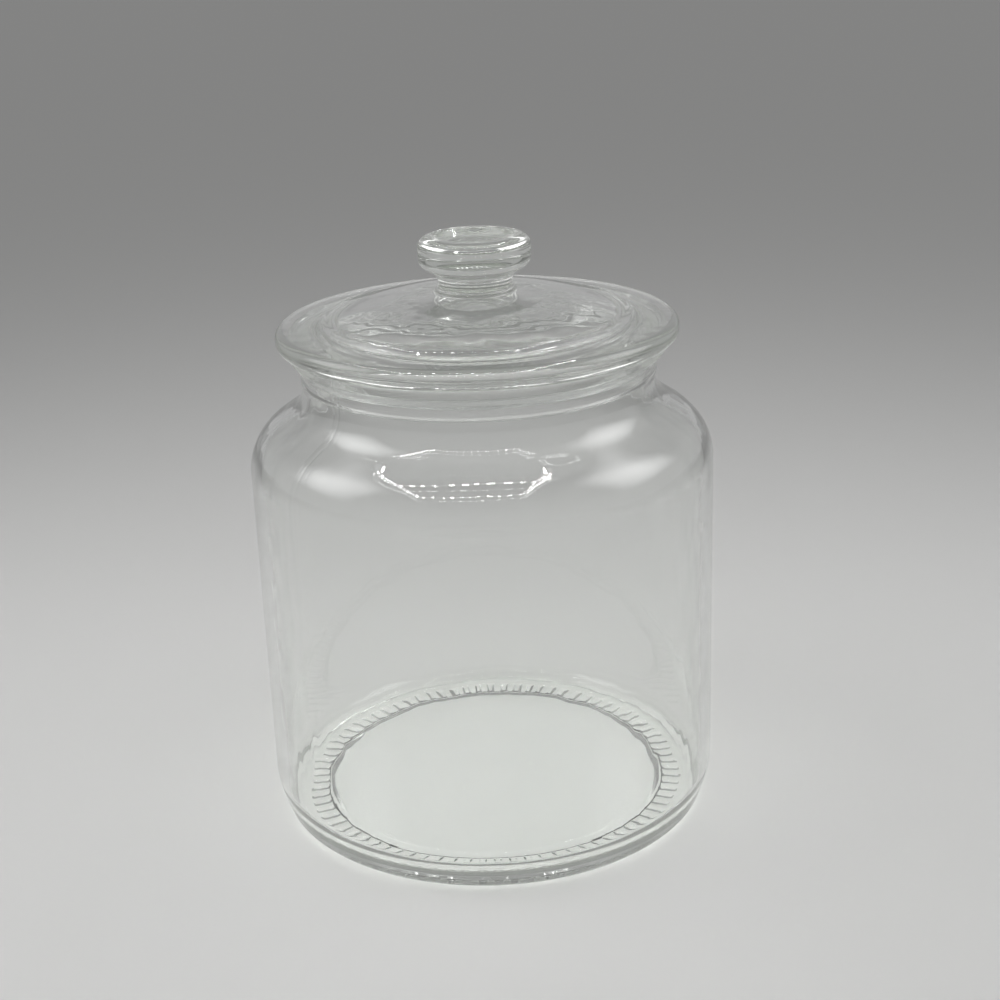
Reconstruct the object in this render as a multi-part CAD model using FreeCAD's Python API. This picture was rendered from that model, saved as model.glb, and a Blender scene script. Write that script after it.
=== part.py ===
"""Glass storage jar with a loose pressed-glass lid.

Two solids: the jar (cylindrical body, rounded shoulder, short neck, rounded finish ring, knurled
foot) and the lid that rests on it (flange, centring skirt, shallow dome and a dished knob).
Both are turned about +Z. The origin is the centre of the face that the jar stands on.
Lengths are in millimetres and angles in degrees.
"""
import FreeCAD, Part
import math
import os

# ---- Jar body ----
BODY_RADIUS = 70.0            # outside of the straight wall
BODY_WALL = 3.8               # side wall and shoulder thickness
HEEL_HEIGHT = 10.0            # the wall draws in below this height above the foot
HEEL_DRAW_IN = 3.0            # how far it draws in
HEEL_TOP_RADIUS = 20.0        # rounding where the wall starts to draw in
HEEL_RADIUS = 3.0             # rounding between the drawn-in wall and the foot
FLOOR_THICKNESS = 4.5         # foot to inner floor, at the edge of the floor
FLOOR_CROWN = 1.2             # how far the inner floor rises towards its centre
FLOOR_CORNER_RADIUS = 6.5     # rounding between inner wall and inner floor
PUSH_UP = 2.6                 # hollow of the underside, at its centre
PUSH_UP_EDGE = 1.6            # hollow of the underside, just inside the foot ring
PUSH_UP_ROUNDING = 3.0
FOOT_INNER_ROUNDING = 0.8     # inner edge of the foot ring

# ---- Knurled foot ring ----
KNURL_COUNT = 80
KNURL_INSET = 12.7            # outside of the wall to the middle of the bars
KNURL_LENGTH = 6.0
KNURL_HEIGHT = 0.5
KNURL_ROOT_WIDTH = 2.3
KNURL_CREST_WIDTH = 1.1
KNURL_BITE = 0.4              # how far each bar reaches into the foot
FOOT_STEP = 1.0               # foot ring that shows inside the bars

# ---- Shoulder and neck ----
JAR_HEIGHT = 147.7            # foot to the top of the finish ring
NECK_HEIGHT = 17.0            # foot of the neck to the top of the finish ring
NECK_RADIUS = 52.7            # outside of the neck
NECK_WALL = 3.7               # neck thickness
NECK_ROOT_RADIUS = 10.0       # hollow rounding between shoulder cone and neck
SHOULDER_SLOPE = 33.0         # shoulder cone, from the horizontal
SHOULDER_RADIUS = 16.0        # rounding between wall and shoulder cone
PARTING_LINE_ABOVE_ROOT = 7.3    # mould parting line, above the foot of the neck
PARTING_LINE_PROUD = 0.4         # how far the parting line stands out
PARTING_LINE_HALF_WIDTH = 0.6    # half of its width on the neck
PARTING_LINE_ROUNDING = 0.2

# ---- Finish ring, the bead round the mouth ----
FINISH_HEIGHT = 6.0           # finish ring, underside to top
FINISH_PROUD = 3.0            # how far it stands out from the neck
FINISH_CHIN_HEIGHT = 2.7      # underside to where the ring is widest
FINISH_CHIN_WIDTH = 1.7       # widest part back to where the underside starts
FINISH_UNDERSIDE_RISE = 0.5   # rise of the underside from the neck to the chin
FINISH_ROOT_RADIUS = 1.2
FINISH_CHIN_RADIUS = 1.5
FINISH_TOP_RADIUS = 1.3       # outer top edge
MOUTH_EDGE_RADIUS = 1.1       # inner top edge

# ---- Lid flange and skirt ----
FLANGE_OVERHANG = 4.1         # flange beyond the finish ring, all round
FLANGE_THICKNESS = 6.2
FLANGE_RIM_WIDTH = 8.0        # outer band of the top, which falls towards the rim
FLANGE_RIM_DROP = 0.4         # how far it falls
FLANGE_CROWN_RADIUS = 30.0    # rounding where it starts to fall
FLANGE_TOP_EDGE_RADIUS = 3.0
FLANGE_UNDER_EDGE_RADIUS = 2.7
SKIRT_CLEARANCE = 1.2         # between skirt and jar mouth, all round
SKIRT_DEPTH = 8.0             # below the flange
SKIRT_THICKNESS = 3.6
SKIRT_EDGE_RADIUS = 1.3
SKIRT_ROOT_RADIUS = 1.0

# ---- Lid dome ----
DOME_INSET = 1.2              # skirt's outside to where the dome leaves the flange
DOME_SIDE_HEIGHT = 1.6        # steep side of the dome
DOME_SIDE_SLOPE = 48.0        # steep side, from the horizontal
DOME_FOOT_RADIUS = 1.0        # hollow rounding between flange and dome
DOME_SIDE_RADIUS = 3.5        # rounding between steep side and crown
DOME_BREAK_INSET = 18.6       # foot of the dome to where its crown turns flatter
DOME_BREAK_RISE = 6.2         # flange top to the crown's break
DOME_CROWN_RADIUS = 75.0      # rounding of the crown there
DOME_RISE = 7.9               # flange top to the foot of the knob
DOME_THICKNESS = 4.6
DOME_UNDER_CORNER_RADIUS = 6.0

# ---- Knob ----
KNOB_WAIST_RADIUS = 11.0
KNOB_WAIST_HEIGHT = 4.8       # foot of the knob to where the head starts to flare
KNOB_WAIST_ROUNDING = 3.0
KNOB_WAIST_FOOT_ROUNDING = 0.4   # hollow rounding between collar and waist
KNOB_COLLAR_PROUD = 0.9       # bead at the foot of the knob, beyond the waist
KNOB_COLLAR_HEIGHT = 1.3
KNOB_COLLAR_EDGE_RADIUS = 0.5
KNOB_FOOT_ROUNDING = 0.8      # hollow rounding between dome and collar
KNOB_HEAD_RADIUS = 16.6
KNOB_HEAD_LOW = 8.3           # foot of the knob to the head's lower edge
KNOB_HEAD_LOW_ROUNDING = 3.2
KNOB_HEIGHT = 16.4            # foot of the knob to its crest
KNOB_CREST_ROUNDING = 3.1
KNOB_RIM_WIDTH = 4.6          # head's outside to where the rim falls into the dish
KNOB_DISH_SIDE = 5.0          # width of the dish's slanted side
KNOB_DISH_DEPTH = 3.2         # crest to the bottom of the dish
KNOB_DISH_RIM_ROUNDING = 2.0
KNOB_DISH_FLOOR_ROUNDING = 12.0


def corner_directions(points, index):
    """Unit vectors from one corner of an outline to the corners before and after it."""
    corner = points[index]
    before = points[index - 1]
    after = points[(index + 1) % len(points)]
    return (before - corner).normalize(), (after - corner).normalize()


def limited_reaches(points, roundings):
    """Length that each rounding takes from the walls beside it, limited where a wall is short."""
    reaches = []
    for index, rounding in enumerate(roundings):
        to_before, to_after = corner_directions(points, index)
        reaches.append(rounding / math.tan(to_before.getAngle(to_after) / 2.0))
    shares = [1.0] * len(points)
    for index in range(len(points)):
        following = (index + 1) % len(points)
        wall = (points[following] - points[index]).Length
        room = 0.999 * wall
        needed = reaches[index] + reaches[following]
        if needed > room:
            shares[index] = min(shares[index], room / needed)
            shares[following] = min(shares[following], room / needed)
    return [reach * share for reach, share in zip(reaches, shares)]


def corner_arc(points, index, reach):
    """Start, middle and end of the arc that rounds one corner and takes reach from each wall."""
    to_before, to_after = corner_directions(points, index)
    half_angle = to_before.getAngle(to_after) / 2.0
    radius = reach * math.tan(half_angle)
    bisector = (to_before + to_after).normalize()
    corner = points[index]
    centre = corner + bisector * (radius / math.sin(half_angle))
    return corner + to_before * reach, centre - bisector * radius, corner + to_after * reach


def turned_solid(corners):
    """Turn a closed outline about Z. Each corner is (radius from the axis, height, rounding)."""
    points = [FreeCAD.Vector(r, 0.0, z) for r, z, _ in corners]
    reaches = limited_reaches(points, [rounding for _, _, rounding in corners])
    edges = []
    first_point = None
    last_point = None
    for index, reach in enumerate(reaches):
        start, end = points[index], points[index]
        arc = None
        if reach > 0.0:
            start, middle, end = corner_arc(points, index, reach)
            arc = Part.Arc(start, middle, end).toShape()
        if last_point is None:
            first_point = start
        else:
            edges.append(Part.LineSegment(last_point, start).toShape())
        if arc:
            edges.append(arc)
        last_point = end
    edges.append(Part.LineSegment(last_point, first_point).toShape())
    face = Part.Face(Part.Wire(edges))
    return face.revolve(FreeCAD.Vector(0, 0, 0), FreeCAD.Vector(0, 0, 1), 360)


def shoulder_cone_height(radius, offset=0.0):
    """Height of the shoulder cone at a radius, moved inwards by offset across its surface."""
    slope = math.radians(SHOULDER_SLOPE)
    outer = JAR_HEIGHT - NECK_HEIGHT - (radius - NECK_RADIUS) * math.tan(slope)
    return outer - offset / math.cos(slope)


def jar_outside():
    """Corners of the jar's outside, from the centre of the underside to the mouth's edge."""
    foot_inner = BODY_RADIUS - KNURL_INSET - KNURL_LENGTH / 2.0 - FOOT_STEP
    neck_root = shoulder_cone_height(NECK_RADIUS)
    parting_line = neck_root + PARTING_LINE_ABOVE_ROOT
    finish_low = JAR_HEIGHT - FINISH_HEIGHT
    finish_radius = NECK_RADIUS + FINISH_PROUD
    return [
        (0.0, PUSH_UP, 0.0),
        (foot_inner - PUSH_UP_EDGE, PUSH_UP_EDGE, PUSH_UP_ROUNDING),
        (foot_inner, KNURL_HEIGHT, FOOT_INNER_ROUNDING),
        (BODY_RADIUS - HEEL_DRAW_IN, KNURL_HEIGHT, HEEL_RADIUS),
        (BODY_RADIUS, KNURL_HEIGHT + HEEL_HEIGHT, HEEL_TOP_RADIUS),
        (BODY_RADIUS, shoulder_cone_height(BODY_RADIUS), SHOULDER_RADIUS),
        (NECK_RADIUS, neck_root, NECK_ROOT_RADIUS),
        (NECK_RADIUS, parting_line - PARTING_LINE_HALF_WIDTH, 0.0),
        (NECK_RADIUS + PARTING_LINE_PROUD, parting_line, PARTING_LINE_ROUNDING),
        (NECK_RADIUS, parting_line + PARTING_LINE_HALF_WIDTH, 0.0),
        (NECK_RADIUS, finish_low, FINISH_ROOT_RADIUS),
        (finish_radius - FINISH_CHIN_WIDTH, finish_low + FINISH_UNDERSIDE_RISE,
         FINISH_CHIN_RADIUS),
        (finish_radius, finish_low + FINISH_CHIN_HEIGHT, FINISH_CHIN_RADIUS),
        (finish_radius, JAR_HEIGHT, FINISH_TOP_RADIUS),
    ]


def jar_inside():
    """Corners of the jar's inside, from the mouth's edge down to the centre of the floor."""
    bore = NECK_RADIUS - NECK_WALL
    inner_wall = BODY_RADIUS - BODY_WALL
    floor = KNURL_HEIGHT + FLOOR_THICKNESS
    return [
        (bore, JAR_HEIGHT, MOUTH_EDGE_RADIUS),
        (bore, shoulder_cone_height(bore, BODY_WALL), NECK_ROOT_RADIUS + NECK_WALL),
        (inner_wall, shoulder_cone_height(inner_wall, BODY_WALL), SHOULDER_RADIUS - BODY_WALL),
        (inner_wall, floor, FLOOR_CORNER_RADIUS),
        (0.0, floor + FLOOR_CROWN, 0.0),
    ]


def knurl_bar():
    """One bar of the foot ring, on +X, with its flat crest on the ground plane."""
    inner_end = BODY_RADIUS - KNURL_INSET - KNURL_LENGTH / 2.0
    flank_run = (KNURL_ROOT_WIDTH - KNURL_CREST_WIDTH) / 2.0
    top_half_width = KNURL_ROOT_WIDTH / 2.0 + flank_run * KNURL_BITE / KNURL_HEIGHT
    section = [
        (-KNURL_CREST_WIDTH / 2.0, 0.0),
        (KNURL_CREST_WIDTH / 2.0, 0.0),
        (top_half_width, KNURL_HEIGHT + KNURL_BITE),
        (-top_half_width, KNURL_HEIGHT + KNURL_BITE),
    ]
    points = [FreeCAD.Vector(inner_end, y, z) for y, z in section]
    face = Part.Face(Part.makePolygon(points + points[:1]))
    return face.extrude(FreeCAD.Vector(KNURL_LENGTH, 0, 0))


def knurl_ring():
    """The bars of the foot ring, evenly spaced about the axis."""
    bars = []
    for index in range(KNURL_COUNT):
        bar = knurl_bar()
        bar.rotate(FreeCAD.Vector(0, 0, 0), FreeCAD.Vector(0, 0, 1), index * 360.0 / KNURL_COUNT)
        bars.append(bar)
    return bars


def make_jar():
    """The jar: one turned wall with the bars of the foot ring joined to its underside."""
    wall = turned_solid(jar_outside() + jar_inside())
    return wall.multiFuse(knurl_ring()).Solids[0]


def skirt_outer_radius():
    """Outside of the lid's skirt, which hangs in the jar's mouth with its clearance."""
    return NECK_RADIUS - NECK_WALL - SKIRT_CLEARANCE


def dome_break_radius():
    """Radius at which the dome's crown turns flatter."""
    return skirt_outer_radius() - DOME_INSET - DOME_BREAK_INSET


def knob_corners(foot):
    """Corners of the knob from the centre of its dish down to its foot, at height foot."""
    crest = foot + KNOB_HEIGHT
    collar_top = foot + KNOB_COLLAR_HEIGHT
    collar_radius = KNOB_WAIST_RADIUS + KNOB_COLLAR_PROUD
    dish_radius = KNOB_HEAD_RADIUS - KNOB_RIM_WIDTH
    return [
        (0.0, crest - KNOB_DISH_DEPTH, 0.0),
        (dish_radius - KNOB_DISH_SIDE, crest - KNOB_DISH_DEPTH, KNOB_DISH_FLOOR_ROUNDING),
        (dish_radius, crest, KNOB_DISH_RIM_ROUNDING),
        (KNOB_HEAD_RADIUS, crest, KNOB_CREST_ROUNDING),
        (KNOB_HEAD_RADIUS, foot + KNOB_HEAD_LOW, KNOB_HEAD_LOW_ROUNDING),
        (KNOB_WAIST_RADIUS, foot + KNOB_WAIST_HEIGHT, KNOB_WAIST_ROUNDING),
        (KNOB_WAIST_RADIUS, collar_top, KNOB_WAIST_FOOT_ROUNDING),
        (collar_radius, collar_top, KNOB_COLLAR_EDGE_RADIUS),
        (collar_radius, foot, KNOB_FOOT_ROUNDING),
    ]


def dome_corners(flange_top):
    """Corners of the dome's outside, from its crown out to the flat of the flange."""
    dome_radius = skirt_outer_radius() - DOME_INSET
    side_run = DOME_SIDE_HEIGHT / math.tan(math.radians(DOME_SIDE_SLOPE))
    return [
        (dome_break_radius(), flange_top + DOME_BREAK_RISE, DOME_CROWN_RADIUS),
        (dome_radius - side_run, flange_top + DOME_SIDE_HEIGHT, DOME_SIDE_RADIUS),
        (dome_radius, flange_top, DOME_FOOT_RADIUS),
    ]


def flange_corners(seat):
    """Corners of the flange, from its flat top round the rim to the underside at height seat."""
    top = seat + FLANGE_THICKNESS
    flange_radius = NECK_RADIUS + FINISH_PROUD + FLANGE_OVERHANG
    return [
        (flange_radius - FLANGE_RIM_WIDTH, top, FLANGE_CROWN_RADIUS),
        (flange_radius, top - FLANGE_RIM_DROP, FLANGE_TOP_EDGE_RADIUS),
        (flange_radius, seat, FLANGE_UNDER_EDGE_RADIUS),
        (skirt_outer_radius(), seat, SKIRT_ROOT_RADIUS),
    ]


def skirt_and_hollow_corners(seat):
    """Corners of the skirt and of the hollow under the dome, ending on the axis."""
    skirt_inner = skirt_outer_radius() - SKIRT_THICKNESS
    skirt_low = seat - SKIRT_DEPTH
    dome_base = seat + FLANGE_THICKNESS - DOME_THICKNESS
    return [
        (skirt_outer_radius(), skirt_low, SKIRT_EDGE_RADIUS),
        (skirt_inner, skirt_low, SKIRT_EDGE_RADIUS),
        (skirt_inner, dome_base + DOME_SIDE_HEIGHT, DOME_UNDER_CORNER_RADIUS),
        (dome_break_radius(), dome_base + DOME_BREAK_RISE, DOME_CROWN_RADIUS - DOME_THICKNESS),
        (0.0, dome_base + DOME_RISE, 0.0),
    ]


def make_lid():
    """The lid: knob, dome, flange and skirt as one turned solid, seated on the finish ring."""
    seat = JAR_HEIGHT
    flange_top = seat + FLANGE_THICKNESS
    outline = knob_corners(flange_top + DOME_RISE) + dome_corners(flange_top)
    outline += flange_corners(seat) + skirt_and_hollow_corners(seat)
    return turned_solid(outline)


def main():
    """Build both solids and write one STEP file for each."""
    os.makedirs("parts", exist_ok=True)
    for name, shape in (("jar", make_jar()), ("lid", make_lid())):
        shape.exportStep(f"parts/{name}.step")
        box = shape.optimalBoundingBox()
        print(f"{name}: valid {shape.isValid()}, solids {len(shape.Solids)}, "
              f"volume {shape.Volume / 1000.0:.1f} cm3, z {box.ZMin:.2f} to {box.ZMax:.2f}, "
              f"across {box.XLength:.2f}")


main()
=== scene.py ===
"""Looks of a glass storage jar and the glass lid that rests on it.

The jar and the lid are clear pressed glass. Each is one closed surface turned about the upright
axis: an outline of straight runs and rounded corners is carried round the axis as one array, and
the slow ripples that hot glass keeps from its mould are added along the surface's own normal.
Lengths are in metres and angles in degrees unless a name says otherwise.
"""

import logging
import math
from dataclasses import dataclass
from enum import Enum
from typing import Any, NamedTuple, Sequence

import bpy
import numpy as np
from mathutils import Matrix, Vector


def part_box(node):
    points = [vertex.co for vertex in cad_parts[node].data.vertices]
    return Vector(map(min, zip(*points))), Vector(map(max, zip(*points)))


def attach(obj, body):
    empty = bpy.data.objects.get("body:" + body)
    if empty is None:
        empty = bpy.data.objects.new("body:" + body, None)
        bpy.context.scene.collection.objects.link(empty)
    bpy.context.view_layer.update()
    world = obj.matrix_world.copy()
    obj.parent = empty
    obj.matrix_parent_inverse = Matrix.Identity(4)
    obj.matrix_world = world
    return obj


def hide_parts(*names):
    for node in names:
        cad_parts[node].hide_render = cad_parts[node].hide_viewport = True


logging.basicConfig(level=logging.INFO, format="%(message)s")
log = logging.getLogger("jar")

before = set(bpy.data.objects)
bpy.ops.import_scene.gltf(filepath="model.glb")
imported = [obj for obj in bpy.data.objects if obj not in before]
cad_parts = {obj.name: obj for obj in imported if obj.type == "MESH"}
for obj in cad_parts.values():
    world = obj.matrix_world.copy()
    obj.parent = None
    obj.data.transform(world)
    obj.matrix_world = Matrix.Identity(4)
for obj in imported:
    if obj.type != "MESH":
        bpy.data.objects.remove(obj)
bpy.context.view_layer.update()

MM = 0.001                    # metres in a millimetre
FULL_TURN = 360.0             # degrees
HALF_TURN = 180.0             # degrees


# ----------------------------------
# Outlines
# ----------------------------------
class Corner(NamedTuple):
    """One corner of an outline, in millimetres: radius from the axis, height and rounding."""

    radius: float
    height: float
    rounding: float = 0.0


@dataclass(frozen=True)
class Outline:
    """A chain of corners, rounded by tangent arcs and sampled closely enough for clear glass.

    Straight runs are cut with a cosine spacing, so that they are finest beside the arcs. An arc
    takes one point every arc_step degrees, and a run one point every run_step millimetres.
    """

    corners: Sequence[Corner]
    arc_step: float = 5.0
    run_step: float = 2.6

    def sample(self) -> np.ndarray:
        """Work out the points of the outline.

        Formula: at a corner with half angle h and rounding r the arc takes r / tan h from each
        run, and its centre lies r / sin h along the bisector.

        Returns:
            Array of (radius, height) rows in millimetres, from the first corner to the last.
        """
        points = np.array([(c.radius, c.height) for c in self.corners], dtype=float)
        pieces: list[np.ndarray] = []
        last = points[0]
        for index in range(1, len(points) - 1):
            corner, rounding = points[index], self.corners[index].rounding
            if rounding <= 0.0:
                pieces.append(self._run(last, corner))
                last = corner
                continue
            arc = self._arc(points[index - 1], corner, points[index + 1], rounding)
            pieces.append(self._run(last, arc[0]))
            pieces.append(arc[:-1])
            last = arc[-1]
        pieces.append(self._run(last, points[-1]))
        pieces.append(points[-1:])
        return np.concatenate(pieces)

    def _run(self, start: np.ndarray, end: np.ndarray) -> np.ndarray:
        """Points of a straight run, its end left out, closer together towards both ends.

        Args:
            start: (radius, height) of the first point.
            end: (radius, height) where the run stops.

        Returns:
            Array of (radius, height) rows.
        """
        length = float(np.linalg.norm(end - start))
        count = max(1, math.ceil(length / self.run_step))
        share = 0.5 - 0.5 * np.cos(np.pi * np.arange(count) / count)
        return start + share[:, None] * (end - start)

    def _arc(self, before: np.ndarray, corner: np.ndarray, after: np.ndarray,
             rounding: float) -> np.ndarray:
        """Points of the tangent arc that rounds one corner, both ends included.

        Args:
            before: the corner before this one.
            corner: the corner that is rounded.
            after: the corner after this one.
            rounding: radius of the arc.

        Returns:
            Array of (radius, height) rows.
        """
        to_before = (before - corner) / np.linalg.norm(before - corner)
        to_after = (after - corner) / np.linalg.norm(after - corner)
        half = 0.5 * math.acos(float(np.clip(to_before @ to_after, -1.0, 1.0)))
        bisector = (to_before + to_after) / np.linalg.norm(to_before + to_after)
        centre = corner + bisector * rounding / math.sin(half)
        reach = rounding / math.tan(half)
        first = corner + to_before * reach - centre
        last = corner + to_after * reach - centre
        start = math.atan2(first[1], first[0])
        turn = (math.atan2(last[1], last[0]) - start + math.pi) % (2.0 * math.pi) - math.pi
        count = max(3, math.ceil(math.degrees(abs(turn)) / self.arc_step))
        angles = start + turn * np.linspace(0.0, 1.0, count + 1)
        return centre + rounding * np.stack([np.cos(angles), np.sin(angles)], axis=1)


@dataclass(frozen=True)
class Ripple:
    """Slow unevenness of a glass skin.

    Formula: the sum of several plane cosine waves with random headings and phases, and with
    wavelengths near one value, read at each point of the skin. It has no seam round the axis.
    """

    wavelength: float
    waves: int
    seed: int
    shortest: float = 0.7
    longest: float = 1.5

    def height(self, points: np.ndarray) -> np.ndarray:
        """Unevenness between about -1 and 1.

        Args:
            points: places on the skin in millimetres, the last axis being x, y and z.

        Returns:
            Array of one value per place.
        """
        rng = np.random.default_rng(self.seed)
        heading = rng.normal(size=(3, self.waves))
        heading /= np.linalg.norm(heading, axis=0)
        pitch = 2.0 * math.pi / (self.wavelength * rng.uniform(self.shortest, self.longest,
                                                              self.waves))
        phase = rng.uniform(0.0, 2.0 * math.pi, self.waves)
        return np.cos(points @ (heading * pitch) + phase).sum(axis=-1) / math.sqrt(self.waves)


def smooth_step(low: float, high: float, value: np.ndarray) -> np.ndarray:
    """Rise from 0 at low to 1 at high, flat at both ends.

    Args:
        low: value where the rise begins.
        high: value where it ends.
        value: values to look up.

    Returns:
        Array of shares between 0 and 1.
    """
    share = np.clip((value - low) / (high - low), 0.0, 1.0)
    return share * share * (3.0 - 2.0 * share)


def turned_grid(outline: np.ndarray, azimuth: np.ndarray) -> np.ndarray:
    """Places of an outline's points at every azimuth.

    Args:
        outline: (radius, height) rows.
        azimuth: angles in radians, one per column.

    Returns:
        Array of rows by columns by x, y and z.
    """
    radius, height = outline[:, :1], outline[:, 1:]
    return np.stack([radius * np.cos(azimuth), radius * np.sin(azimuth),
                     height + 0.0 * azimuth], axis=-1)


def outline_normals(points: np.ndarray) -> np.ndarray:
    """Unit normals of an outline, to the right of its direction of travel.

    Args:
        points: (radius, height) rows.

    Returns:
        Array of one normal per row.
    """
    tangent = np.gradient(points, axis=0)
    tangent /= np.linalg.norm(tangent, axis=1, keepdims=True)
    return np.stack([tangent[:, 1], -tangent[:, 0]], axis=1)


# ----------------------------------
# Turned meshes
# ----------------------------------
def ring_band(first: int, columns: int, rows: int) -> np.ndarray:
    """Four-cornered faces between the rows of one block of a turned grid.

    Args:
        first: number of the block's first vertex.
        columns: vertices in each row.
        rows: rows in the block.

    Returns:
        Array of vertex numbers, four to a face.
    """
    row = first + columns * np.arange(rows - 1)[:, None]
    here = np.arange(columns)[None, :]
    after = (here + 1) % columns
    return np.stack([row + here, row + after, row + columns + after, row + columns + here],
                    axis=-1).reshape(-1, 4)


def pole_fan(pole: int, first: int, columns: int, closes_start: bool) -> np.ndarray:
    """Three-cornered faces that close a turned grid at a point on the axis.

    Args:
        pole: number of the vertex on the axis.
        first: number of the neighbouring row's first vertex.
        columns: vertices in that row.
        closes_start: whether the point begins the outline or ends it.

    Returns:
        Array of vertex numbers, three to a face.
    """
    here = first + np.arange(columns)
    after = first + (np.arange(columns) + 1) % columns
    apex = np.full(columns, pole)
    order = [apex, after, here] if closes_start else [here, after, apex]
    return np.stack(order, axis=-1)


def stitched_band(coarse: int, fine: int, columns: int, split: int,
                  coarse_first: bool) -> np.ndarray:
    """Faces that join a row to one with split times as many vertices.

    Args:
        coarse: number of the coarse row's first vertex.
        fine: number of the fine row's first vertex.
        columns: vertices in the coarse row.
        split: fine vertices to each coarse one.
        coarse_first: whether the coarse row comes first along the outline.

    Returns:
        Array of vertex numbers, split + 3 to a face.
    """
    here = np.arange(columns)
    after = (here + 1) % columns
    steps = np.arange(split + 1)
    fine_run = fine + (here[:, None] * split + steps[None, :]) % (columns * split)
    if coarse_first:
        return np.concatenate([(coarse + here)[:, None], (coarse + after)[:, None],
                               fine_run[:, ::-1]], axis=1)
    return np.concatenate([fine_run, (coarse + after)[:, None], (coarse + here)[:, None]], axis=1)


def make_object(name: str, vertices: np.ndarray, faces: list[list[int]]) -> bpy.types.Object:
    """Put vertices and faces into a smooth mesh object at the origin.

    Args:
        name: name of the mesh and of the object.
        vertices: places in millimetres.
        faces: vertex numbers of every face.

    Returns:
        The object, linked into the scene.
    """
    mesh = bpy.data.meshes.new(name)
    mesh.from_pydata((vertices * MM).tolist(), [], faces)
    mesh.validate()
    mesh.polygons.foreach_set("use_smooth", [True] * len(mesh.polygons))
    mesh.update()
    piece = bpy.data.objects.new(name, mesh)
    bpy.context.scene.collection.objects.link(piece)
    return piece


def turned_points(outline: np.ndarray, azimuth: np.ndarray, offset: np.ndarray,
                  normals: np.ndarray) -> np.ndarray:
    """Carry an outline round the axis.

    Formula: each point moves by its offset along its normal, and its radius is then turned to
    every azimuth.

    Args:
        outline: (radius, height) rows.
        azimuth: angles in radians, one per column.
        offset: distance along the normal for every row and column.
        normals: unit normals of the outline, one per row.

    Returns:
        Array of rows times columns points.
    """
    radius = outline[:, :1] + offset * normals[:, :1]
    height = outline[:, 1:] + offset * normals[:, 1:]
    return np.stack([radius * np.cos(azimuth), radius * np.sin(azimuth), height],
                    axis=-1).reshape(-1, 3)


# ----------------------------------
# Shader wiring
# ----------------------------------
class Link:
    """A shader value that can be written in expressions; each operator adds one Math node."""

    def __init__(self, tree: "ShaderTree", socket: bpy.types.NodeSocket) -> None:
        """Wrap one output socket of a tree."""
        self.tree = tree
        self.socket = socket

    def _math(self, operation: str, *operands: Any) -> "Link":
        """Add a Math node for one operation and return its result."""
        settings = {"operation": operation}
        return self.tree.node("ShaderNodeMath", settings, dict(enumerate(operands))).out(0)

    def __add__(self, other: Any) -> "Link":
        """Sum."""
        return self._math("ADD", self, other)

    __radd__ = __add__

    def __sub__(self, other: Any) -> "Link":
        """Difference."""
        return self._math("SUBTRACT", self, other)

    def __rsub__(self, other: Any) -> "Link":
        """Difference, from a number."""
        return self._math("SUBTRACT", other, self)

    def __mul__(self, other: Any) -> "Link":
        """Product."""
        return self._math("MULTIPLY", self, other)

    __rmul__ = __mul__

    def at_least(self, other: Any) -> "Link":
        """The larger of two values."""
        return self._math("MAXIMUM", self, other)

    def fraction(self) -> "Link":
        """What is left of a value after its whole part."""
        return self._math("FRACT", self)

    def above(self, level: float) -> "Link":
        """1 where the value is over a level, otherwise 0."""
        return self._math("GREATER_THAN", self, level)

    def ramp(self, low: float, high: float) -> "Link":
        """Smooth rise from 0 at low to 1 at high."""
        node = self.tree.node("ShaderNodeMapRange", {"interpolation_type": "SMOOTHSTEP"},
                              {"Value": self, "From Min": low, "From Max": high})
        return node.out(0)


class NodeHandle:
    """One node of a tree, with its outputs as links."""

    def __init__(self, tree: "ShaderTree", node: bpy.types.Node) -> None:
        """Wrap a node."""
        self.tree = tree
        self.node = node

    def out(self, name: Any) -> Link:
        """The output with that name or number."""
        return Link(self.tree, self.node.outputs[name])


class ShaderTree:
    """Builds the nodes of one material, lamp or world."""

    def __init__(self, tree: bpy.types.NodeTree) -> None:
        """Take over a node tree and empty it."""
        self.tree = tree
        tree.nodes.clear()

    def node(self, kind: str, settings: dict[str, Any] | None = None,
             inputs: dict[Any, Any] | None = None) -> NodeHandle:
        """Add a node.

        Args:
            kind: Blender's name of the node type.
            settings: the node's own properties, set before its sockets.
            inputs: values or links, by socket name or number.

        Returns:
            The node, ready to be linked.
        """
        node = self.tree.nodes.new(kind)
        for name, value in (settings or {}).items():
            setattr(node, name, value)
        for name, value in (inputs or {}).items():
            socket = node.inputs[name]
            if isinstance(value, Link):
                self.tree.links.new(value.socket, socket)
            else:
                socket.default_value = value
        return NodeHandle(self, node)


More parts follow.
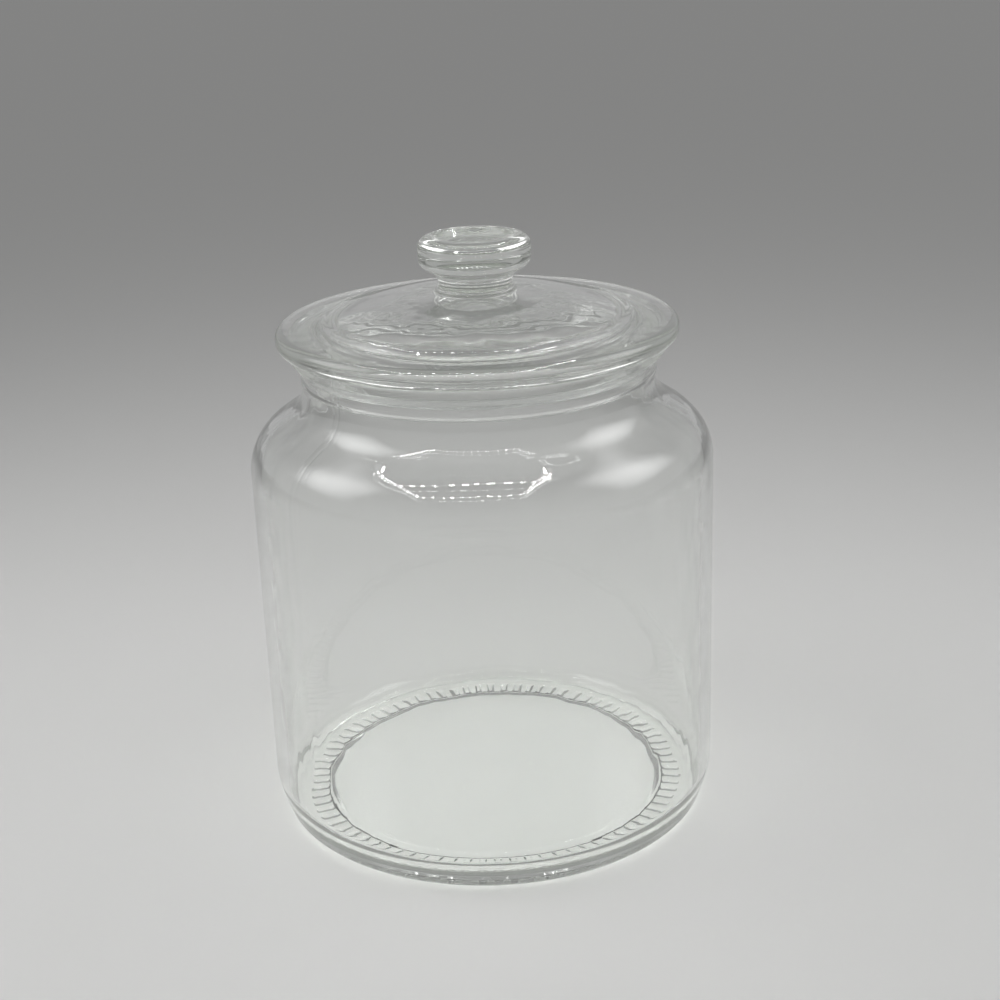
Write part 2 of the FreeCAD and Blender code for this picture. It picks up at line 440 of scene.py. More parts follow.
# ----------------------------------
# Finishes
# ----------------------------------
@dataclass(frozen=True)
class PressedGlass:
    """Clear soda-lime glass: smooth, faintly rippled, and slightly grey-green where it is thick."""

    name: str
    tint: tuple[float, float, float] = (0.885, 0.9, 0.875)
    density: float = 26.0
    ior: float = 1.52
    skin_colour: tuple[float, float, float] = (0.985, 0.99, 0.985)
    shadow_colour: tuple[float, float, float] = (0.945, 0.95, 0.943)
    ripple_scale: float = 160.0
    ripple_depth: float = 0.00006
    ripple_draw: float = 0.45
    ripple_softness: float = 0.35
    haze_scale: float = 42.0
    haze_roughness: float = 0.6
    haze_from: float = 0.35
    haze_to: float = 0.8
    clean_roughness: float = 0.002
    hazed_roughness: float = 0.012
    trapped_after: float = 2.5

    def build(self) -> bpy.types.Material:
        """Make the material.

        Formula: shadow rays, and light that has been mirrored inside the glass more than
        trapped_after times, pass straight through; all other light meets the glass surface.

        Returns:
            A material with a glass surface and a little absorption inside.
        """
        material = bpy.data.materials.new(self.name)
        material.use_nodes = True
        tree = ShaderTree(material.node_tree)
        place = tree.node("ShaderNodeTexCoord").out("Object")
        drawn = tree.node("ShaderNodeMapping", None, {
            "Vector": place, "Scale": (1.0, 1.0, self.ripple_draw)})
        fine = tree.node("ShaderNodeTexNoise", None, {
            "Vector": drawn.out(0), "Scale": self.ripple_scale, "Detail": 1.0,
            "Roughness": self.ripple_softness})
        haze = tree.node("ShaderNodeTexNoise", None, {
            "Vector": place, "Scale": self.haze_scale, "Detail": 3.0,
            "Roughness": self.haze_roughness})
        bump = tree.node("ShaderNodeBump", None, {
            "Strength": 1.0, "Distance": self.ripple_depth, "Height": fine.out("Fac")})
        hazed = haze.out("Fac").ramp(self.haze_from, self.haze_to)
        roughness = self.clean_roughness + self.hazed_roughness * hazed
        surface = tree.node("ShaderNodeBsdfPrincipled", None, {
            "Base Color": (*self.skin_colour, 1.0), "Roughness": roughness, "IOR": self.ior,
            "Transmission Weight": 1.0, "Normal": bump.out(0)})
        inside = tree.node("ShaderNodeVolumeAbsorption", None, {
            "Color": (*self.tint, 1.0), "Density": self.density})
        passing = tree.node("ShaderNodeBsdfTransparent", None, {
            "Color": (*self.shadow_colour, 1.0)})
        path = tree.node("ShaderNodeLightPath")
        trapped = path.out("Glossy Depth").above(self.trapped_after)
        shown = tree.node("ShaderNodeMixShader", None, {
            0: path.out("Is Shadow Ray").at_least(trapped),
            1: surface.out(0), 2: passing.out(0)})
        tree.node("ShaderNodeOutputMaterial", None, {
            "Surface": shown.out(0), "Volume": inside.out(0)})
        return material


@dataclass(frozen=True)
class PaleMatte:
    """Even, pale, matte sweep that the jar stands on."""

    name: str
    level: float
    blue_share: float = 0.99
    roughness: float = 0.9
    specular: float = 0.1

    def build(self) -> bpy.types.Material:
        """Make the material.

        Returns:
            A matte material of one even colour.
        """
        material = bpy.data.materials.new(self.name)
        material.use_nodes = True
        tree = ShaderTree(material.node_tree)
        surface = tree.node("ShaderNodeBsdfPrincipled", None, {
            "Base Color": (self.level, self.level, self.level * self.blue_share, 1.0),
            "Roughness": self.roughness, "Specular IOR Level": self.specular})
        tree.node("ShaderNodeOutputMaterial", None, {"Surface": surface.out(0)})
        return material


# ----------------------------------
# The jar
# ----------------------------------
@dataclass
class GlassJar:
    """The jar: cylindrical body, rounded shoulder, short neck, finish ring and knurled foot.

    Sizes are in millimetres and slopes and azimuths in degrees. The knurl is the ring of bars
    under the foot: knurl_rows and knurl_window are shares of half a bar's length, and knurl_wave
    holds the cosines between which a bar rises. The seam is the upright mark of the mould. The
    other waves are ripples: the heights where they set in and are full and, for the shoulder,
    where they fade, or, for outer_wave and inner_wave, the depth on the body and what the
    shoulder adds.
    """

    height: float
    body_radius: float = 70.0
    body_wall: float = 3.8
    heel_height: float = 10.0
    heel_draw_in: float = 3.0
    heel_top_radius: float = 20.0
    heel_radius: float = 3.0
    floor_thickness: float = 4.5
    floor_crown: float = 1.2
    floor_corner_radius: float = 6.5
    push_up: float = 2.6
    push_up_edge: float = 1.6
    push_up_radius: float = 3.0
    foot_edge_radius: float = 0.8
    knurl_count: int = 80
    knurl_inset: float = 12.7
    knurl_length: float = 6.0
    knurl_height: float = 0.5
    knurl_wave: tuple[float, float] = (-0.15, 0.75)
    knurl_window: tuple[float, float] = (0.8, 1.06)
    knurl_rows: tuple[float, ...] = (0.0, 0.3, 0.6, 0.8, 0.93, 1.0, 1.08, 1.14)
    foot_step: float = 1.0
    foot_start: float = 0.62
    neck_height: float = 17.0
    neck_radius: float = 52.7
    neck_wall: float = 3.7
    neck_root_radius: float = 10.0
    shoulder_slope: float = 33.0
    shoulder_radius: float = 16.0
    parting_above_root: float = 7.3
    parting_proud: float = 0.4
    parting_half_width: float = 0.6
    parting_radii: tuple[float, float] = (0.35, 0.3)
    finish_height: float = 6.0
    finish_proud: float = 3.0
    finish_top_radii: tuple[float, float] = (1.3, 1.1)
    chin_height: float = 2.7
    chin_width: float = 1.7
    chin_rise: float = 0.5
    chin_root_radius: float = 1.2
    chin_radius: float = 1.5
    seam_azimuth: float = 218.4
    seam_height: float = 0.05
    seam_width: float = 0.38
    seam_fade: tuple[float, float, float] = (86.0, 112.0, 122.0)
    seam_faint: float = 0.25
    seam_columns: tuple[float, ...] = (-0.75, -0.4, -0.15, 0.15, 0.4, 0.75)
    seam_clearance: float = 0.45
    shoulder_wave: tuple[float, float, float, float] = (98.0, 116.0, 134.0, 139.0)
    mouth_wave: tuple[float, float] = (137.0, 141.0)
    foot_wave: tuple[float, float] = (0.6, 9.0)
    outer_wave: tuple[float, float] = (0.015, 0.035)
    inner_wave: tuple[float, float] = (0.05, 0.07)
    air_gap: float = 0.06
    columns: int = 228
    split: int = 4

    def cone(self, radius: float, offset: float = 0.0) -> float:
        """Height of the shoulder cone at a radius, moved inwards by an offset.

        Args:
            radius: distance from the axis.
            offset: how far inside the outer skin the cone lies.

        Returns:
            Height above the ground.
        """
        slope = math.radians(self.shoulder_slope)
        outer = self.height - self.neck_height - (radius - self.neck_radius) * math.tan(slope)
        return outer - offset / math.cos(slope)

    def underside(self) -> np.ndarray:
        """Outline of the hollow underside, from the axis to just inside the bars.

        Returns:
            Array of (radius, height) rows.
        """
        foot_inner = self.ring_inner()
        return Outline([
            Corner(0.0, self.push_up),
            Corner(foot_inner - self.push_up_edge, self.push_up_edge, self.push_up_radius),
            Corner(foot_inner, self.knurl_height, self.foot_edge_radius),
            Corner(foot_inner + self.foot_step, self.knurl_height)], run_step=3.6).sample()

    def ring_inner(self) -> float:
        """Work out the inner radius of the foot ring."""
        return self.body_radius - self.knurl_inset - self.knurl_length / 2.0 - self.foot_step

    def ring_rows(self) -> np.ndarray:
        """Radii of the closely spaced rows that carry the bars.

        Returns:
            Array of radii, growing outwards.
        """
        middle = self.body_radius - self.knurl_inset
        outer = np.array(self.knurl_rows)
        return middle + self.knurl_length / 2.0 * np.concatenate([-outer[:0:-1], outer])

    def outside(self) -> np.ndarray:
        """Outline from just outside the bars up to the mouth and down to the inner floor.

        Returns:
            Array of (radius, height) rows.
        """
        start = self.body_radius - self.knurl_inset + self.foot_start * self.knurl_length
        parting_foot, parting_crest = self.parting_radii
        outer_lip, inner_lip = self.finish_top_radii
        root = self.cone(self.neck_radius)
        parting = root + self.parting_above_root
        low = self.height - self.finish_height
        wide = self.neck_radius + self.finish_proud
        bore = self.neck_radius - self.neck_wall
        inner = self.body_radius - self.body_wall
        floor = self.knurl_height + self.floor_thickness
        return Outline([
            Corner(start, self.knurl_height),
            Corner(self.body_radius - self.heel_draw_in, self.knurl_height, self.heel_radius),
            Corner(self.body_radius, self.knurl_height + self.heel_height, self.heel_top_radius),
            Corner(self.body_radius, self.cone(self.body_radius), self.shoulder_radius),
            Corner(self.neck_radius, root, self.neck_root_radius),
            Corner(self.neck_radius, parting - self.parting_half_width, parting_foot),
            Corner(self.neck_radius + self.parting_proud, parting, parting_crest),
            Corner(self.neck_radius, parting + self.parting_half_width, parting_foot),
            Corner(self.neck_radius, low, self.chin_root_radius),
            Corner(wide - self.chin_width, low + self.chin_rise, self.chin_radius),
            Corner(wide, low + self.chin_height, self.chin_radius),
            Corner(wide, self.height - self.air_gap, outer_lip),
            Corner(bore, self.height - self.air_gap, inner_lip),
            Corner(bore, self.cone(bore, self.body_wall), self.neck_root_radius + self.neck_wall),
            Corner(inner, self.cone(inner, self.body_wall), self.shoulder_radius - self.body_wall),
            Corner(inner, floor, self.floor_corner_radius),
            Corner(0.0, floor + self.floor_crown)], run_step=3.2).sample()

    def azimuths(self) -> np.ndarray:
        """Angles of the columns, evenly spaced with a few more at the mould seams.

        Returns:
            Array of angles in radians, growing.
        """
        even = np.arange(self.columns) * FULL_TURN / self.columns
        near = np.array(self.seam_columns)
        extra = np.concatenate([self.seam_azimuth + near, self.seam_azimuth - HALF_TURN + near])
        apart = (even[:, None] - extra[None, :] + HALF_TURN) % FULL_TURN - HALF_TURN
        kept = even[np.abs(apart).min(axis=1) > self.seam_clearance]
        return np.radians(np.sort(np.concatenate([kept, extra % FULL_TURN])))

    def seam(self, azimuth: np.ndarray, points: np.ndarray) -> np.ndarray:
        """Height of the two upright mould seams.

        Formula: a bell curve across the seam, faded out below the shoulder and at the mouth.

        Args:
            azimuth: angles of the columns in radians.
            points: (radius, height) rows of the skin.

        Returns:
            Array of heights above the skin, rows by columns.
        """
        quarter = FULL_TURN / 4.0
        turn = np.degrees(azimuth) - self.seam_azimuth
        off = np.abs((turn + quarter) % HALF_TURN - quarter)
        bell = np.exp(-(off / self.seam_width) ** 2)
        low, middle, high = self.seam_fade
        clear = self.seam_faint + (1.0 - self.seam_faint) * smooth_step(middle, high, points[:, 1])
        tall = smooth_step(low, middle, points[:, 1]) * clear
        lifted = (points[:, 1] < self.height - self.finish_height) * tall
        return self.seam_height * lifted[:, None] * bell[None, :]

    def bars(self, azimuth: np.ndarray, radius: np.ndarray) -> np.ndarray:
        """Height of the foot ring's underside.

        Formula: round each bar a flat-topped wave of the angle, times a window of the radius.

        Args:
            azimuth: angles of the columns in radians.
            radius: radii of the rows.

        Returns:
            Array of heights above the ground, rows by columns.
        """
        wave = smooth_step(*self.knurl_wave, np.cos(azimuth * self.knurl_count))
        middle = self.body_radius - self.knurl_inset
        half = self.knurl_length / 2.0
        window = 1.0 - smooth_step(*self.knurl_window, np.abs(radius - middle) / half)
        return self.knurl_height * (1.0 - window[:, None] * wave[None, :])

    def build(self) -> bpy.types.Object:
        """Build the closed surface of the jar.

        Returns:
            The jar's mesh object.
        """
        azimuth = self.azimuths()
        columns = len(azimuth)
        following = np.append(azimuth[1:], azimuth[0] + 2.0 * math.pi)
        steps = np.arange(self.split) / self.split
        fine = (azimuth[:, None] + (following - azimuth)[:, None] * steps[None, :]).reshape(-1)

        under = self.underside()
        under_part = turned_points(under[1:], azimuth, np.zeros((len(under) - 1, columns)),
                                   outline_normals(under)[1:])
        radii = self.ring_rows()
        ring_height = self.bars(fine, radii)
        ring_part = np.stack([radii[:, None] * np.cos(fine)[None, :],
                              radii[:, None] * np.sin(fine)[None, :], ring_height],
                             axis=-1).reshape(-1, 3)
        skin = self.outside()
        normals = outline_normals(skin)
        offset = self.unevenness(skin, azimuth) + self.seam(azimuth, skin)
        skin_part = turned_points(skin[:-1], azimuth, offset[:-1], normals[:-1])

        blocks = [under_part, ring_part, skin_part]
        starts = np.cumsum([0] + [len(block) for block in blocks])
        rows = [len(under) - 1, len(radii), len(skin) - 1]
        poles = np.array([[0.0, 0.0, under[0, 1]], [0.0, 0.0, skin[-1, 1]]])
        vertices = np.concatenate(blocks + [poles])
        fine_columns = columns * self.split
        faces = [
            pole_fan(int(starts[3]), int(starts[0]), columns, True),
            ring_band(int(starts[0]), columns, rows[0]),
            stitched_band(int(starts[1]) - columns, int(starts[1]), columns, self.split, True),
            ring_band(int(starts[1]), fine_columns, rows[1]),
            stitched_band(int(starts[2]), int(starts[2]) - fine_columns, columns, self.split,
                          False),
            ring_band(int(starts[2]), columns, rows[2]),
            pole_fan(int(starts[3]) + 1, int(starts[3]) - columns, columns, False)]
        listed = [face for block in faces for face in block.tolist()]
        return make_object("jar_glass_body", vertices, listed)

    def unevenness(self, skin: np.ndarray, azimuth: np.ndarray) -> np.ndarray:
        """Offsets that the ripples make.

        The outer skin lies a little inwards on average, so that the jar keeps within its size.

        Args:
            skin: (radius, height) rows.
            azimuth: angles of the columns in radians.

        Returns:
            Array of distances along the skin's normal, rows by columns.
        """
        height = skin[:, 1]
        top = int(np.argmax(height > self.height - self.air_gap - 1e-6))
        inside = (np.arange(len(skin)) > top).astype(float)
        rise, risen, fall, fallen = self.shoulder_wave
        shoulder = smooth_step(rise, risen, height) * (1.0 - smooth_step(fall, fallen, height))
        mouth = smooth_step(*self.mouth_wave, height)
        outer = ((self.outer_wave[0] + self.outer_wave[1] * shoulder) * (1.0 - mouth)
                 * smooth_step(*self.foot_wave, height))
        inner = (self.inner_wave[0] + self.inner_wave[1] * shoulder) * (1.0 - 0.9 * mouth)
        grid = turned_grid(skin, azimuth)
        slow = Ripple(wavelength=46.0, waves=14, seed=5).height(grid)
        quick = Ripple(wavelength=15.0, waves=22, seed=11).height(grid)
        outer_wave = 0.6 * slow + 0.4 * quick
        inner_wave = 0.75 * slow + 0.35 * quick
        dip = -((1.0 - inside) * outer)[:, None] * (1.0 + outer_wave)
        return dip + (inside * inner)[:, None] * inner_wave

    def dress(self, piece: bpy.types.Object, glass: bpy.types.Material) -> None:
        """Give the jar its glass and set it in the place of its solid.

        Args:
            piece: the jar's mesh object.
            glass: its material.
        """
        piece.data.materials.append(glass)
        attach(piece, "root")
        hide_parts("jar")


# ----------------------------------
# The lid
# ----------------------------------
@dataclass
class GlassLid:
    """The lid: flange, centring skirt, shallow dome and a dished knob.

    Sizes are in millimetres and slopes in degrees. Each name that ends in radius or radii is the
    rounding of a corner, apart from the mouth, finish, waist and head, which are distances from
    the axis. A wave's numbers are the radii where it sets in and is full, or its depth.
    """

    seat: float
    mouth_radius: float
    finish_radius: float
    overhang: float = 4.1
    flange_thickness: float = 6.2
    flange_crown_radius: float = 30.0
    rim_width: float = 8.0
    rim_drop: float = 0.4
    rim_radii: tuple[float, float] = (3.0, 2.7)
    skirt_clearance: float = 1.2
    skirt_depth: float = 8.0
    skirt_thickness: float = 3.6
    skirt_root_radius: float = 1.0
    skirt_edge_radius: float = 1.3
    hollow_radius: float = 6.0
    dome_inset: float = 1.2
    dome_side_height: float = 1.6
    dome_side_slope: float = 48.0
    dome_side_radius: float = 3.5
    dome_foot_radius: float = 1.0
    dome_break_inset: float = 18.6
    dome_break_rise: float = 6.2
    dome_break_radius: float = 75.0
    dome_rise: float = 7.9
    dome_thickness: float = 4.6
    waist_radius: float = 11.0
    waist_height: float = 4.8
    waist_bend_radius: float = 3.0
    waist_foot_radius: float = 0.4
    collar_proud: float = 0.9
    collar_height: float = 1.3
    collar_radii: tuple[float, float] = (0.5, 0.8)
    head_radius: float = 16.6
    head_low: float = 8.3
    head_radii: tuple[float, float] = (3.1, 3.2)
    knob_height: float = 16.4
    knob_rim_width: float = 4.6
    dish_side: float = 5.0
    dish_depth: float = 3.2
    dish_radii: tuple[float, float] = (12.0, 2.0)
    dome_wave: tuple[float, float, float, float] = (13.5, 19.0, 41.0, 45.0)
    flange_wave: tuple[float, float] = (45.0, 49.0)
    hollow_wave: tuple[float, float] = (38.0, 43.0)
    dome_wave_depth: float = 0.025
    flange_wave_depth: float = 0.02
    hollow_wave_depth: float = 0.075
    seat_clearance: float = 1.5
    columns: int = 240

    def outline(self) -> np.ndarray:
        """Outline from the middle of the knob's dish round to the hollow under the dome.

        Returns:
            Array of (radius, height) rows.
        """
        flange_radius = self.finish_radius + self.overhang
        skirt_outer = self.mouth_radius - self.skirt_clearance
        skirt_inner = skirt_outer - self.skirt_thickness
        top = self.seat + self.flange_thickness
        base = top - self.dome_thickness
        foot = top + self.dome_rise
        crest = foot + self.knob_height
        dish = self.head_radius - self.knob_rim_width
        dome_radius = skirt_outer - self.dome_inset
        side_run = self.dome_side_height / math.tan(math.radians(self.dome_side_slope))
        dome_break = dome_radius - self.dome_break_inset
        collar_top = foot + self.collar_height
        collar = self.waist_radius + self.collar_proud
        low = self.seat - self.skirt_depth
        inner_break = self.dome_break_radius - self.dome_thickness
        return Outline([
            Corner(0.0, crest - self.dish_depth),
            Corner(dish - self.dish_side, crest - self.dish_depth, self.dish_radii[0]),
            Corner(dish, crest, self.dish_radii[1]),
            Corner(self.head_radius, crest, self.head_radii[0]),
            Corner(self.head_radius, foot + self.head_low, self.head_radii[1]),
            Corner(self.waist_radius, foot + self.waist_height, self.waist_bend_radius),
            Corner(self.waist_radius, collar_top, self.waist_foot_radius),
            Corner(collar, collar_top, self.collar_radii[0]),
            Corner(collar, foot, self.collar_radii[1]),
            Corner(dome_break, top + self.dome_break_rise, self.dome_break_radius),
            Corner(dome_radius - side_run, top + self.dome_side_height, self.dome_side_radius),
            Corner(dome_radius, top, self.dome_foot_radius),
            Corner(flange_radius - self.rim_width, top, self.flange_crown_radius),
            Corner(flange_radius, top - self.rim_drop, self.rim_radii[0]),
            Corner(flange_radius, self.seat, self.rim_radii[1]),
            Corner(skirt_outer, self.seat, self.skirt_root_radius),
            Corner(skirt_outer, low, self.skirt_edge_radius),
            Corner(skirt_inner, low, self.skirt_edge_radius),
            Corner(skirt_inner, base + self.dome_side_height, self.hollow_radius),
            Corner(dome_break, base + self.dome_break_rise, inner_break),
            Corner(0.0, base + self.dome_rise)], run_step=1.6).sample()

    def unevenness(self, outline: np.ndarray, azimuth: np.ndarray) -> np.ndarray:
        """Offsets that the ripples of the dome and flange make.

        The outer skin lies a little inwards on average, and the seat and the skirt stay even.

        Args:
            outline: (radius, height) rows.
            azimuth: angles of the columns in radians.

        Returns:
            Array of distances along the outline's normal, rows by columns.
        """
        radius, height = outline[:, 0], outline[:, 1]
        widest = int(np.argmax(radius))
        below = (np.arange(len(outline)) > widest).astype(float)
        rise, risen, fall, fallen = self.dome_wave
        dome = smooth_step(rise, risen, radius) * (1.0 - smooth_step(fall, fallen, radius))
        flange = smooth_step(*self.flange_wave, radius)
        low = smooth_step(self.seat - self.seat_clearance, self.seat + self.seat_clearance, height)
        outer = (1.0 - below) * (self.dome_wave_depth * dome + self.flange_wave_depth * flange)
        hollow = 1.0 - smooth_step(*self.hollow_wave, radius)
        inner = below * self.hollow_wave_depth * hollow * low
        grid = turned_grid(outline, azimuth)
        slow = Ripple(wavelength=30.0, waves=14, seed=3).height(grid)
        quick = Ripple(wavelength=13.0, waves=20, seed=8).height(grid)
        wave = 0.8 * slow + 0.3 * quick
        dip = -outer[:, None] * (1.0 + wave)
        return dip + inner[:, None] * wave

    def build(self) -> bpy.types.Object:
        """Build the closed surface of the lid.

        Returns:
            The lid's mesh object.
        """
        azimuth = np.radians(np.arange(self.columns) * FULL_TURN / self.columns)
        outline = self.outline()
        offset = self.unevenness(outline, azimuth)
        inner = slice(1, -1)
        normals = outline_normals(outline)
        body = turned_points(outline[inner], azimuth, -offset[inner], normals[inner])
        poles = np.array([[0.0, 0.0, outline[0, 1]], [0.0, 0.0, outline[-1, 1]]])
        vertices = np.concatenate([body, poles])
        rows = len(outline) - 2
        faces = [pole_fan(len(body), 0, self.columns, True),
                 ring_band(0, self.columns, rows),
                 pole_fan(len(body) + 1, len(body) - self.columns, self.columns, False)]
        listed = [face for block in faces for face in block[:, ::-1].tolist()]
        return make_object("lid_glass_body", vertices, listed)

    def dress(self, piece: bpy.types.Object, glass: bpy.types.Material) -> None:
        """Give the lid its glass and set it in the place of its solid.

        Args:
            piece: the lid's mesh object.
            glass: its material.
        """
        piece.data.materials.append(glass)
        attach(piece, "root")
        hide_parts("lid")


# ----------------------------------
# Stage, light and camera
# ----------------------------------
class Side(Enum):
    """A side of the jar, as a sign along the x axis."""

    LEFT = -1.0
    RIGHT = 1.0


@dataclass
class Lamp:
    """One rectangular lamp. Its face looks at a target point.

    The dots are counted along the width and the depth. dot_share is the lit part of each dot's
    place, and unlit_level is what shines between the dots. soft_peak makes a soft lamp's mean
    level equal to an even lamp's.
    """

    name: str
    place: tuple[float, float, float]
    target: tuple[float, float, float]
    width: float
    depth: float
    radiance: float
    dots: tuple[int, int] = (0, 0)
    soft: bool = False
    dot_share: float = 0.4
    unlit_level: float = 0.02
    soft_peak: float = 2.25

    def soft_edges(self, data: bpy.types.AreaLight) -> None:
        """Let the lamp fade out towards its edges, so that glass shows it as a soft glow.

        Formula: on each side, four times the place along it times what is left of it;
        the light is the product of the two.

        Args:
            data: the lamp's data.
        """
        data.use_nodes = True
        tree = ShaderTree(data.node_tree)
        spot = tree.node("ShaderNodeSeparateXYZ", None, {
            0: tree.node("ShaderNodeNewGeometry").out("Parametric")})
        across, along = (4.0 * spot.out(axis) * (1.0 - spot.out(axis)) for axis in "XY")
        shine = tree.node("ShaderNodeEmission", None, {
            "Strength": self.soft_peak * across * along})
        tree.node("ShaderNodeOutputLight", None, {"Surface": shine.out(0)})

    def dot_pattern(self, data: bpy.types.AreaLight) -> None:
        """Break the lamp into rows of small bright dots.

        Formula: the place along a side times the number of dots, less its whole part, runs from
        0 to 1 over each dot's place; the dot is where both sides lie near the middle of theirs.

        Args:
            data: the lamp's data.
        """
        data.use_nodes = True
        tree = ShaderTree(data.node_tree)
        spot = tree.node("ShaderNodeSeparateXYZ", None, {
            0: tree.node("ShaderNodeNewGeometry").out("Parametric")})
        lit = 1.0
        for axis, count in zip("XY", self.dots):
            off = (spot.out(axis) * float(count)).fraction() - 0.5
            reach = self.dot_share / 2.0 if count > 1 else 1.0
            lit = lit * (1.0 - (off * off).above(reach ** 2))
        shine = tree.node("ShaderNodeEmission", None, {
            "Strength": self.unlit_level + (1.0 - self.unlit_level) * lit})
        tree.node("ShaderNodeOutputLight", None, {"Surface": shine.out(0)})

    def build(self) -> bpy.types.Object:
        """Make the lamp.

        Formula: an area lamp's power is its radiance times its area times pi.

        Returns:
            The lamp, linked into the scene and hidden from the camera.
        """
        data = bpy.data.lights.new(self.name, "AREA")
        data.shape = "RECTANGLE"
        data.size = self.width
        data.size_y = self.depth
        data.energy = self.radiance * self.width * self.depth * math.pi
        lamp = bpy.data.objects.new(self.name, data)
        bpy.context.scene.collection.objects.link(lamp)
        aim = Vector(self.target) - Vector(self.place)
        lamp.matrix_world = (Matrix.Translation(Vector(self.place))
                             @ aim.to_track_quat("-Z", "Y").to_matrix().to_4x4())
        lamp.visible_camera = False
        if any(self.dots):
            self.dot_pattern(data)
        if self.soft:
            self.soft_edges(data)
        return lamp


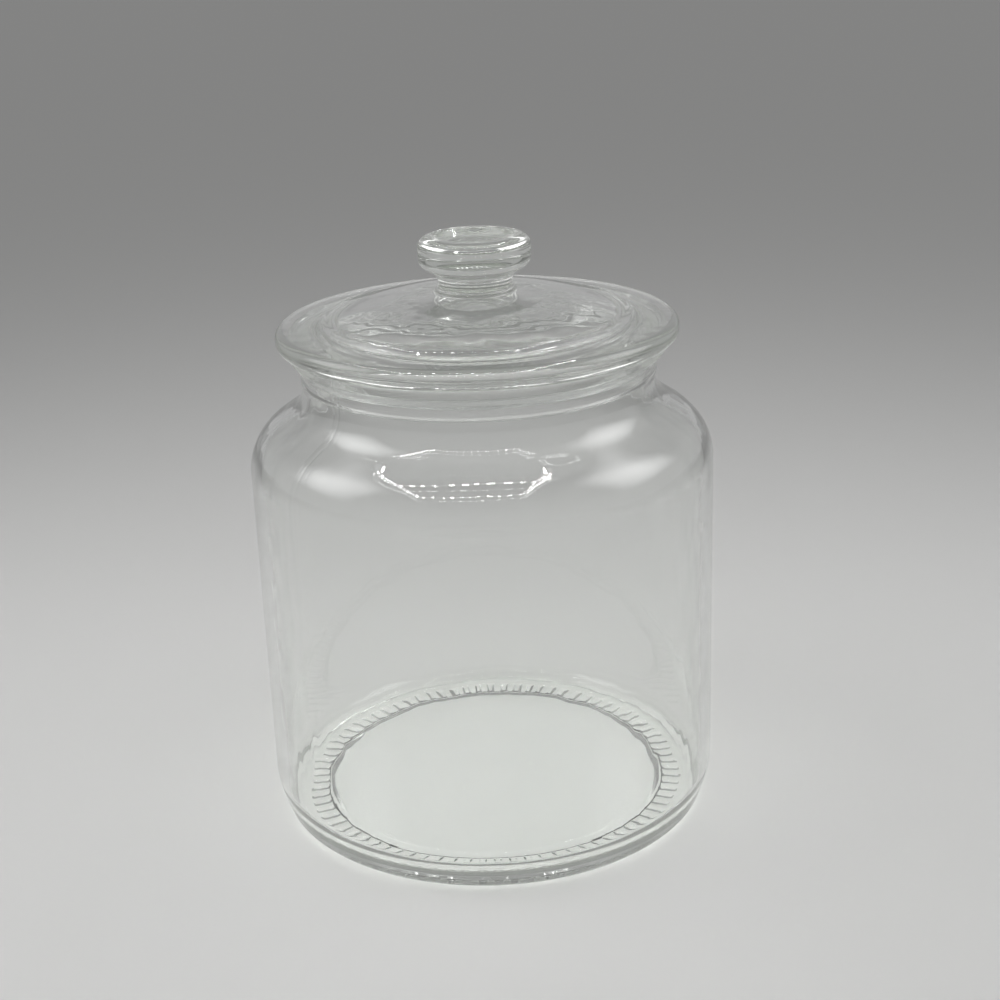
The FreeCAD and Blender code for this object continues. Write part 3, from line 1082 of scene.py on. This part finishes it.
@dataclass
class Studio:
    """Pale floor, soft world, lamp strips overhead and a soft panel at each side.

    Lengths are in metres. The strips hang at strip_height: two run across, at near and inner,
    and one runs along each side, from near to far. side_width and side_gain say how much wider
    and brighter those two are. Between the two heights of ceiling_from_to, which are those of
    a direction's upright part, the world darkens from horizon to ceiling.
    """

    floor_level: float = 0.56
    floor_half: float = 6.0
    floor_drop: float = 0.05 * MM
    world_level: float = 0.40
    horizon_level: float = 0.42
    ceiling_level: float = 0.3
    ceiling_from_to: tuple[float, float] = (0.3, 0.62)
    strip_radiance: float = 50.0
    strip_width: float = 0.012
    strip_height: float = 0.5
    side_width: float = 2.0
    side_gain: float = 1.2
    left: float = -0.205
    right: float = 0.125
    near: float = -0.28
    inner: float = -0.085
    far: float = 0.3
    across_dots: tuple[int, int] = (11, 1)
    side_dots: tuple[int, int] = (2, 25)
    panel_radiance: float = 1.4
    panel_size: float = 0.36
    panel_out: float = 0.36
    panel_height: float = 0.4
    panel_aim: float = 0.1

    def floor(self) -> bpy.types.Object:
        """Lay the floor just under the jar's foot.

        Returns:
            The floor's mesh object.
        """
        half = self.floor_half
        corners = np.array([(-half, -half, 0.0), (half, -half, 0.0), (half, half, 0.0),
                            (-half, half, 0.0)]) / MM - np.array([0.0, 0.0, self.floor_drop / MM])
        floor = make_object("floor", corners, [[0, 1, 2, 3]])
        floor.data.materials.append(PaleMatte("pale_floor", self.floor_level).build())
        return floor

    @staticmethod
    def grey(level: float) -> tuple[float, float, float, float]:
        """Colour of an even grey, for a colour socket."""
        return (level, level, level, 1.0)

    def world(self) -> None:
        """Light everything softly, and show clear glass a pale horizon under a darker ceiling."""
        world = bpy.data.worlds.new("soft_world")
        bpy.context.scene.world = world
        world.use_nodes = True
        tree = ShaderTree(world.node_tree)
        path = tree.node("ShaderNodeLightPath")
        way = tree.node("ShaderNodeTexCoord").out("Generated")
        height = tree.node("ShaderNodeSeparateXYZ", None, {0: way}).out("Z")
        shown = tree.node("ShaderNodeMix", {"data_type": "RGBA"}, {
            "Factor": height.ramp(*self.ceiling_from_to), "A": self.grey(self.horizon_level),
            "B": self.grey(self.ceiling_level)})
        direct = 1.0 - path.out("Diffuse Depth").above(0.5)
        seen = direct * path.out("Is Glossy Ray").at_least(path.out("Is Transmission Ray"))
        plain = tree.node("ShaderNodeMix", {"data_type": "RGBA"}, {
            "Factor": path.out("Is Camera Ray"), "A": self.grey(self.world_level),
            "B": self.grey(self.horizon_level)})
        colour = tree.node("ShaderNodeMix", {"data_type": "RGBA"}, {
            "Factor": seen, "A": plain.out("Result"), "B": shown.out("Result")})
        back = tree.node("ShaderNodeBackground", None, {
            "Color": colour.out("Result"), "Strength": 1.0})
        tree.node("ShaderNodeOutputWorld", None, {"Surface": back.out(0)})

    def lamps(self) -> list[bpy.types.Object]:
        """Hang the overhead strips and set the side panels.

        Returns:
            The lamps, strips first.
        """
        middle = (self.left + self.right) / 2.0
        centre = (self.near + self.far) / 2.0
        height = self.strip_height
        made = []
        for name, y in (("near", self.near), ("inner", self.inner)):
            made.append(Lamp(f"strip_{name}", (middle, y, height), (middle, y, 0.0),
                             self.right - self.left, self.strip_width, self.strip_radiance,
                             self.across_dots))
        for side, x in ((Side.LEFT, self.left), (Side.RIGHT, self.right)):
            made.append(Lamp(f"strip_{side.name.lower()}", (x, centre, height), (x, centre, 0.0),
                             self.side_width * self.strip_width, self.far - self.near,
                             self.side_gain * self.strip_radiance, self.side_dots))
        for side in Side:
            made.append(Lamp(f"panel_{side.name.lower()}",
                             (side.value * self.panel_out, 0.0, self.panel_height),
                             (0.0, 0.0, self.panel_aim), self.panel_size, self.panel_size,
                             self.panel_radiance, soft=True))
        return [lamp.build() for lamp in made]


@dataclass
class Viewpoint:
    """Camera that looks slightly down at the jar from the front.

    The place is in metres, the angles in degrees, the lens and the sensor in millimetres.
    """

    place: tuple[float, float, float] = (0.0, -0.480, 0.2715)
    pitch: float = 20.12
    yaw: float = 0.59
    roll: float = -2.05
    lens: float = 59.72
    sensor: float = 36.0

    def build(self) -> bpy.types.Object:
        """Make the camera and use it.

        Formula: the view direction comes from yaw and pitch, and the right and up directions
        are then turned about it by the roll.

        Returns:
            The camera.
        """
        pitch, yaw, roll = (math.radians(v) for v in (self.pitch, self.yaw, self.roll))
        forward = Vector((math.sin(yaw) * math.cos(pitch), math.cos(yaw) * math.cos(pitch),
                          -math.sin(pitch)))
        level = forward.cross(Vector((0.0, 0.0, 1.0))).normalized()
        upright = level.cross(forward)
        right = math.cos(roll) * level + math.sin(roll) * upright
        up = -math.sin(roll) * level + math.cos(roll) * upright
        data = bpy.data.cameras.new("camera")
        data.sensor_width = self.sensor
        data.lens = self.lens
        camera = bpy.data.objects.new("camera", data)
        bpy.context.scene.collection.objects.link(camera)
        turn = Matrix((right, up, -forward)).transposed().to_4x4()
        camera.matrix_world = Matrix.Translation(Vector(self.place)) @ turn
        bpy.context.scene.camera = camera
        return camera


def main() -> None:
    """Build the jar and the lid, dress them, and set the stage."""
    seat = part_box("jar")[1][2] / MM
    jar = GlassJar(height=seat)
    jar_piece = jar.build()
    jar.dress(jar_piece, PressedGlass("jar_glass").build())
    log.info("jar: %d faces", len(jar_piece.data.polygons))

    lid = GlassLid(seat=seat, mouth_radius=jar.neck_radius - jar.neck_wall,
                   finish_radius=jar.neck_radius + jar.finish_proud)
    lid_piece = lid.build()
    lid.dress(lid_piece, PressedGlass("lid_glass").build())
    log.info("lid: %d faces", len(lid_piece.data.polygons))

    studio = Studio()
    studio.floor()
    studio.world()
    log.info("lamps: %d", len(studio.lamps()))
    Viewpoint().build()
    bpy.context.scene.view_settings.view_transform = "Standard"


if __name__ == "__main__":
    main()
